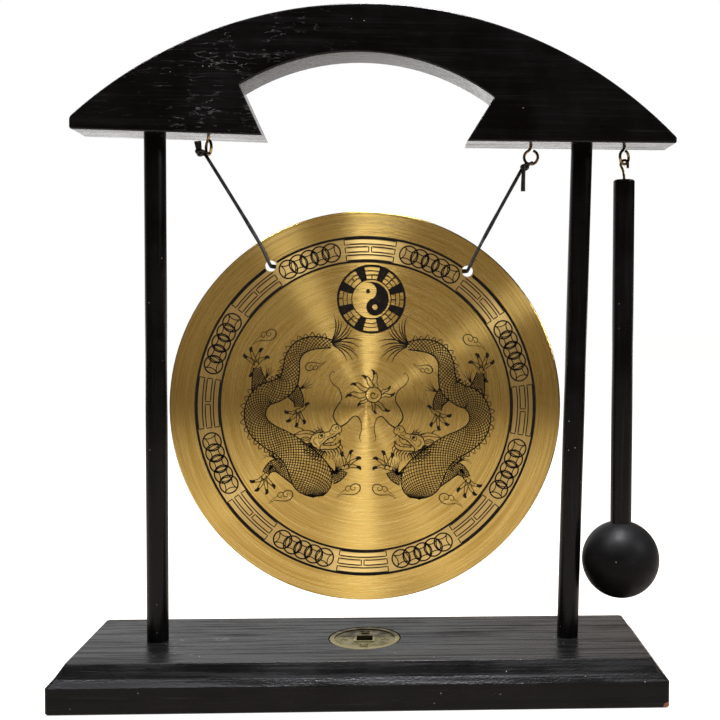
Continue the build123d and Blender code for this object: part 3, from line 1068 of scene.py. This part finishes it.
def draw_head(ink, place, facing, size):
    """A dragon's head in profile, jaws open: horn, ear, brow, eye, nostril, teeth and mane."""
    at = placer(place, facing, size)

    def curve(points, width, end_width=None):
        ink.curve([at(x, y) for x, y in points], width, end_width)

    def shape(points, steps=4):
        path = smooth_path([at(x, y) for x, y in points], steps)
        ink.fill(path[:-1] if points[0] == points[-1] else path)

    # skull, snout and upper lip
    curve([(-0.46, 0.22), (-0.3, 0.36), (-0.12, 0.42), (0.02, 0.40), (0.1, 0.29), (0.26, 0.27),
           (0.36, 0.36), (0.48, 0.40), (0.6, 0.33), (0.64, 0.2), (0.58, 0.1), (0.44, 0.09)],
          0.42, 0.34)
    curve([(0.44, 0.09), (0.3, 0.05), (0.14, 0.06), (-0.04, 0.0), (-0.2, -0.06), (-0.26, -0.16)],
          0.5, 0.4)
    curve([(0.4, 0.15), (0.22, 0.12), (0.06, 0.13), (-0.08, 0.07), (-0.22, 0.02)], 0.24, 0.18)
    # lower jaw
    curve([(-0.26, -0.16), (-0.1, -0.22), (0.08, -0.3), (0.26, -0.33), (0.4, -0.26), (0.46, -0.13),
           (0.36, -0.19), (0.2, -0.2), (0.02, -0.13), (-0.12, -0.08)], 0.46, 0.3)
    # teeth
    for x, y, length in ((0.5, 0.085, -0.13), (0.36, 0.07, -0.08), (0.25, 0.05, -0.08),
                         (0.1, 0.05, -0.07), (0.4, -0.2, 0.12), (0.27, -0.2, 0.07),
                         (0.12, -0.17, 0.07)):
        ink.fill([at(x - 0.022, y), at(x + 0.022, y), at(x + 0.012, y + length)])
    # tongue
    curve([(-0.1, -0.05), (0.08, -0.07), (0.2, -0.1), (0.32, -0.05), (0.37, 0.0)], 0.5, 0.2)
    # nostril and folds of the snout
    curve([(0.46, 0.24), (0.5, 0.31), (0.57, 0.28), (0.54, 0.21)], 0.36, 0.28)
    curve([(0.34, 0.30), (0.36, 0.22), (0.44, 0.18)], 0.24, 0.2)
    curve([(0.24, 0.24), (0.25, 0.18), (0.31, 0.15)], 0.24, 0.18)
    # eye under a heavy brow
    ink.fill([at(-0.035 + 0.052 * math.cos(a), 0.235 + 0.05 * math.sin(a))
              for a in [math.tau * i / 14 for i in range(14)]])
    curve([(-0.16, 0.2), (-0.1, 0.29), (0.0, 0.32), (0.08, 0.24), (0.02, 0.17), (-0.1, 0.16),
           (-0.16, 0.2)], 0.28)
    shape([(0.1, 0.3), (0.0, 0.37), (-0.14, 0.39), (-0.28, 0.34), (-0.16, 0.35), (-0.02, 0.33)])
    for x, y, dx, dy in ((-0.1, 0.41, -0.08, 0.1), (-0.02, 0.42, -0.04, 0.12),
                         (0.05, 0.39, 0.0, 0.11), (-0.2, 0.39, -0.12, 0.08)):
        curve([(x, y), (x + dx * 0.6, y + dy * 0.8), (x + dx * 1.3, y + dy)], 0.42, 0.1)
    # cheek, gill lines and ear
    curve([(-0.28, 0.02), (-0.34, 0.12), (-0.3, 0.22), (-0.2, 0.24)], 0.3, 0.2)
    curve([(-0.32, -0.08), (-0.42, 0.02), (-0.42, 0.14)], 0.3, 0.2)
    curve([(-0.4, 0.26), (-0.5, 0.38), (-0.68, 0.4), (-0.56, 0.28), (-0.44, 0.2)], 0.34, 0.3)
    curve([(-0.46, 0.27), (-0.54, 0.34), (-0.62, 0.37)], 0.4, 0.1)
    # horn with one branch
    curve([(-0.2, 0.42), (-0.38, 0.56), (-0.6, 0.62), (-0.86, 0.6)], 0.38, 0.26)
    curve([(-0.3, 0.38), (-0.44, 0.47), (-0.62, 0.53), (-0.86, 0.6)], 0.34, 0.26)
    curve([(-0.5, 0.6), (-0.56, 0.72), (-0.68, 0.78)], 0.5, 0.12)
    # mane along the neck, and the beard
    for i in range(11):
        t = i / 10
        x, y = -0.44 + 0.3 * t * t, 0.16 - 0.42 * t
        sweep = 0.36 - 0.1 * abs(t - 0.4)
        lift = 0.16 - 0.42 * t
        curve([(x, y), (x - sweep * 0.45, y + lift * 0.3 - 0.03),
               (x - sweep * 0.8, y + lift * 0.8 - 0.02), (x - sweep * 1.2, y + lift)], 0.62, 0.12)
        curve([(x + 0.02, y - 0.03), (x - sweep * 0.4, y + lift * 0.3 - 0.09),
               (x - sweep * 0.9, y + lift * 0.7 - 0.06)], 0.3, 0.12)
    for i in range(7):
        x, y = -0.14 + 0.09 * i, -0.25 - 0.09 * math.sin(i * 0.52)
        curve([(x, y), (x + 0.03, y - 0.12), (x - 0.03, y - 0.2 - 0.03 * (i % 3)),
               (x - 0.07, y - 0.27)], 0.5, 0.1)


def draw_dragon(ink):
    """One dragon, its head low and its tail high, winding round the side of the face."""
    body = Limb([(-185, 318, 20), (-240, 322, 29), (-300, 316, 34), (-352, 288, 36),
        (-382, 235, 38), (-388, 172, 43), (-405, 112, 50), (-458, 72, 55), (-518, 48, 56),
        (-556, 0, 54), (-566, -62, 54), (-540, -122, 58), (-485, -166, 62), (-420, -200, 66),
        (-362, -246, 75), (-318, -296, 90), (-286, -342, 102), (-264, -384, 101),
        (-250, -420, 86), (-242, -448, 60), (-238, -470, 20)])
    fore_high = Limb([(-215, -345, 50), (-170, -366, 36), (-130, -355, 25), (-105, -328, 18)])
    hind_high = Limb([(-530, 40, 52), (-546, 100, 40), (-556, 150, 27), (-562, 190, 18)])
    hind_low = Limb([(-410, 110, 45), (-372, 65, 37), (-348, 25, 27), (-345, -12, 19)])
    fore_low = Limb([(-330, -360, 60), (-400, -322, 50), (-455, -312, 34), (-492, -332, 21),
        (-506, -356, 16)])
    for limb in (body, fore_high, hind_high, hind_low, fore_low):
        hiding = () if limb is body else (body,)
        for line in limb.scale_lines(SCALE_SIZE):
            ink.line(line, 0.29, behind=hiding)
        for side in (-1, 1):
            ink.line(limb.side(side), 0.5, 0.42, behind=hiding)
    # the fin along the back
    steps = int(body.length / 0.027)
    for i in range(1, int(steps * 0.8)):
        start = body.length * i / steps
        reach = 1 + (0.014 + 0.005 * (i % 2)) / body.half(start)
        spike = [body.at(start + run, across)
                 for run, across in ((0, -1), (0.012, -reach - 0.1), (0.024, -1))]
        ink.line(smooth_path(spike, 3), 0.4, 0.24)
    # the tail's tuft
    for i in range(12):
        spread = math.radians(-38 + 10.5 * i)
        reach = 0.095 + 0.03 * math.cos(spread - 0.25) + 0.016 * (i % 3)
        u, v = -0.183 - 0.004 * math.sin(spread), 0.318 + 0.012 * math.sin(spread)
        lean = 0.16 * (1 if i < 6 else -1)
        root = (u, v)
        ink.curve([root, moved(root, spread + lean, reach * 0.35), moved(root, spread, reach * 0.7),
                   moved(root, spread - lean, reach)], 0.2, 0.08, belly=0.34)
    for u, v, facing, size in ((-0.564, 0.205, 108, 0.088), (-0.348, -0.028, -98, 0.082),
                               (-0.514, -0.370, -82, 0.088), (-0.094, -0.312, 72, 0.088)):
        draw_foot(ink, (u, v), facing, size)
    # tufts at the elbows and the leg joints
    for u, v, facing in ((-0.34, 0.085, 20), (-0.515, 0.135, 60), (-0.46, -0.275, 150),
                         (-0.15, -0.335, 70)):
        for k in range(4):
            a = math.radians(facing + 16 * (k - 1.5))
            reach = 0.06 + 0.01 * (k % 2)
            ink.curve([(u, v), moved((u, v + 0.006), a, reach * 0.5),
                       moved((u, v), a + 0.2, reach)], 0.42, 0.1)
    draw_head(ink, (-0.205, -0.185), 24, 0.16)
    # whiskers
    ink.curve([(-0.14, -0.10), (-0.168, -0.055), (-0.155, -0.01), (-0.128, 0.035), (-0.14, 0.085),
               (-0.175, 0.115), (-0.192, 0.15), (-0.176, 0.178), (-0.166, 0.168)], 0.55, 0.18, 8)
    ink.curve([(-0.128, -0.105), (-0.098, -0.085), (-0.062, -0.05), (-0.034, -0.062),
               (-0.022, -0.11), (-0.032, -0.16), (-0.022, -0.178)], 0.6, 0.18, 8)
    for place, facing, size in (((-0.52, 0.345), 18, 0.075), ((-0.27, 0.205), 186, 0.06),
                                ((-0.42, -0.475), 12, 0.075), ((-0.075, -0.435), 14, 0.075)):
        draw_cloud(ink, place, facing, size)


def make_print():
    """The whole ornament, in a few pieces: frieze, medallion with pearl, and two dragons."""
    material = printed_ink("gong_ink")
    for name, draw in (("print_frieze", draw_frieze), ("print_medallion", draw_medallion),
                       ("print_pearl", draw_pearl)):
        ink = Print(name, material)
        draw(ink)
        ink.finish()
    for name, mirrored in (("print_left_dragon", False), ("print_right_dragon", True)):
        ink = Print(name, material)
        draw_dragon(Placed(ink, mirrored))
        ink.finish()


# ---- stage and lights
def make_floor():
    """A plain pale floor that runs out into the white behind. Its glow on the object is dim near
    the stand and strong behind it; the camera sees one even tone."""
    row = FLOOR_CELLS + 1
    places = [(i / FLOOR_CELLS - 0.5) * FLOOR_SIDE for i in range(row)]
    points = [(u, v, -FLOOR_DROP) for u in places for v in places]
    faces = [(a, a + row, a + row + 1, a + 1)
             for i in range(FLOOR_CELLS) for a in range(i * row, i * row + FLOOR_CELLS)]
    m = Material("pale_floor", Roughness=0.9, Emission_Color=WHITE)
    x, y, _ = m.parts(m.place)
    full, none, glow = FLOOR_NEAR
    near = m.ramp(m.length(x, y), full, none, glow, FLOOR_FAR_GLOW)
    start, end, glow = FLOOR_BEHIND
    lit = m.math("ADD", near, m.ramp(y, start, end, 0.0, glow))
    seen = m.node("LightPath")["Is Camera Ray"]
    unlit = m.math("SUBTRACT", FLOOR_SEEN, lit)
    m.set(
        Base_Color=m.mix(m.noise(m.place, scale=3.0), *FLOOR_COLOURS),
        Emission_Strength=m.math("ADD", lit, m.math("MULTIPLY", seen, unlit)),
    )
    floor = mesh_object("floor", points, faces, m.material)
    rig.stage(floor)


def area_light(name, place, target, size, power):
    data = bpy.data.lights.new(name, "AREA")
    data.shape = "RECTANGLE"
    data.size, data.size_y = size
    data.energy = power
    data.color = LIGHT_COLOUR
    light = bpy.data.objects.new(name, data)
    light.location = place
    light.rotation_euler = (target - place).to_track_quat("-Z", "Y").to_euler()
    bpy.context.scene.collection.objects.link(light)


def make_world():
    """A plain white studio to the camera. The light it sends to the object is bright behind it,
    and dim and warm in front and at the sides."""
    world = bpy.data.worlds.new("studio")
    bpy.context.scene.world = world
    world.use_nodes = True
    world.node_tree.nodes.clear()
    w = Nodes(world.node_tree, "Generated")
    strength = w.ramp(w.dot(w.place, WORLD_FACING), *WORLD_RAMP)
    colour = w.mix(strength, WORLD_DIM_COLOUR, WHITE)
    lit = w.node("Background", (colour, strength))[0]
    plain = w.node("Background", (WHITE, 1.0))[0]
    seen = w.node("LightPath")["Is Camera Ray"]
    w.node("OutputWorld", (w.node("MixShader", (seen, lit, plain))[0],))


def make_lights():
    """Small soft lights, nearly overhead: each gives the brushed brass one bright ray."""
    for name, ray, tilt, distance, size, power in LIGHTS:
        place = ray_light_place(math.radians(ray), math.radians(tilt), distance)
        area_light(name, place, GONG_CENTRE, size, power)


def ray_light_place(ray, tilt, distance):
    """Where a light makes the brass shine along a ray, at that angle clockwise from the top."""
    to_camera = (CAMERA_PLACE - GONG_CENTRE).normalized()
    half = Vector((math.sin(tilt) * math.sin(ray), -math.cos(tilt), math.sin(tilt) * math.cos(ray)))
    to_light = half * (2 * half.dot(to_camera)) - to_camera
    return GONG_CENTRE + to_light * distance


# ---- assembly
make_camera()

cord_material = waxed_cord("waxed_cord")
cord, cord_path = make_cord(cord_material)
left_knot = make_knot(
    "left_knot_wound", LEFT_KNOT, Vector((1, 0.1, -0.25)),
    LEFT_KNOT + Vector((1.5, 1.2, 0.1)) * MM, Vector((0.2, 0.1, 0.9)), cord_material)
right_knot = make_knot(
    "right_knot_wound", RIGHT_KNOT, Vector((1, 0.1, 0.5)),
    RIGHT_KNOT + Vector((1.4, 0.4, 1.0)) * MM, Vector((0.5, 0.1, -0.9)), cord_material)
left_tail = make_tail("left_tail_flat", LEFT_TAIL, 1.3 * MM, cord_material)
right_tail = make_tail("right_tail_flat", RIGHT_TAIL, 0.85 * MM, cord_material)
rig.replaces(cord, "cord_left_run", "cord_right_run", "cord_behind_gong")
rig.replaces(left_knot, "left_knot")
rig.replaces(right_knot, "right_knot")
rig.replaces(left_tail, "left_cord_tail")
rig.replaces(right_tail, "right_cord_tail")
for piece in (left_knot, right_knot, left_tail, right_tail):
    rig.ride(piece, "suspension")
for piece in (cord, left_knot, right_knot, left_tail, right_tail):
    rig.slot(piece, "waxed_cord")
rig.blend(cord, "suspension", "gong", start=(0, -0.0013, 0.1705), end=(0, -0.0013, 0.1670))
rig.cord(cord, exit=cord_path[0], length=CORD_LENGTH, diameter=CORD_DIAMETER, far_end="knot",
        stiffness="limp", lay="taut", path=cord_path,
        with_pieces=[left_knot, right_knot, left_tail, right_tail])

make_print()

coin_low, coin_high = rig.box("coin_inlay")
ALONG_X = (25.0, 900.0, 900.0)
ALONG_Z = (900.0, 900.0, 25.0)
paint = {
    "base_board": black_paint(
        "base_paint", ALONG_X, sheen=0.12, lines=0.4, leather=0.5, relief=0.00012, pores=0.34,
        cracked=((-0.062, -0.004, 0.0166), 0.03), chipped=((0.1108, -0.0325, 0.0004), 0.0042)),
    "arch_header": black_paint(
        "header_paint", ALONG_X, tone=0.0016, gloss=0.2, cracked=((-0.055, -0.009, 0.235), 0.06)),
    "left_post": black_paint("post_paint", ALONG_Z, tone=0.0022, sheen=0.15),
    "mallet_ball": black_paint(
        "ball_paint", (260.0, 260.0, 420.0), gloss=0.43, sheen=0.09, leather=0.15),
}
paint["right_post"] = paint["mallet_handle"] = paint["left_post"]
wire = tarnished_wire("eye_wire")
for eye in ("left_screw_eye", "right_screw_eye", "mallet_screw_eye", "mallet_hook"):
    paint[eye] = wire
paint["coin_inlay"] = aged_brass("coin_brass", (coin_low + coin_high) / 2)
paint["gong_disc"] = brushed_gong("gong_brass", GONG_CENTRE, GONG_RADIUS, BAND)
for node, material in paint.items():
    NODES[node].material_slots[0].material = material

make_floor()
make_world()
make_lights()
bpy.context.scene.view_settings.view_transform = "Standard"

visual_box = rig.bounds()
with open("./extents.json", "w") as f:
    json.dump({"cad": [list(c) for c in CAD_BOX], "visual": [list(c) for c in visual_box]}, f)
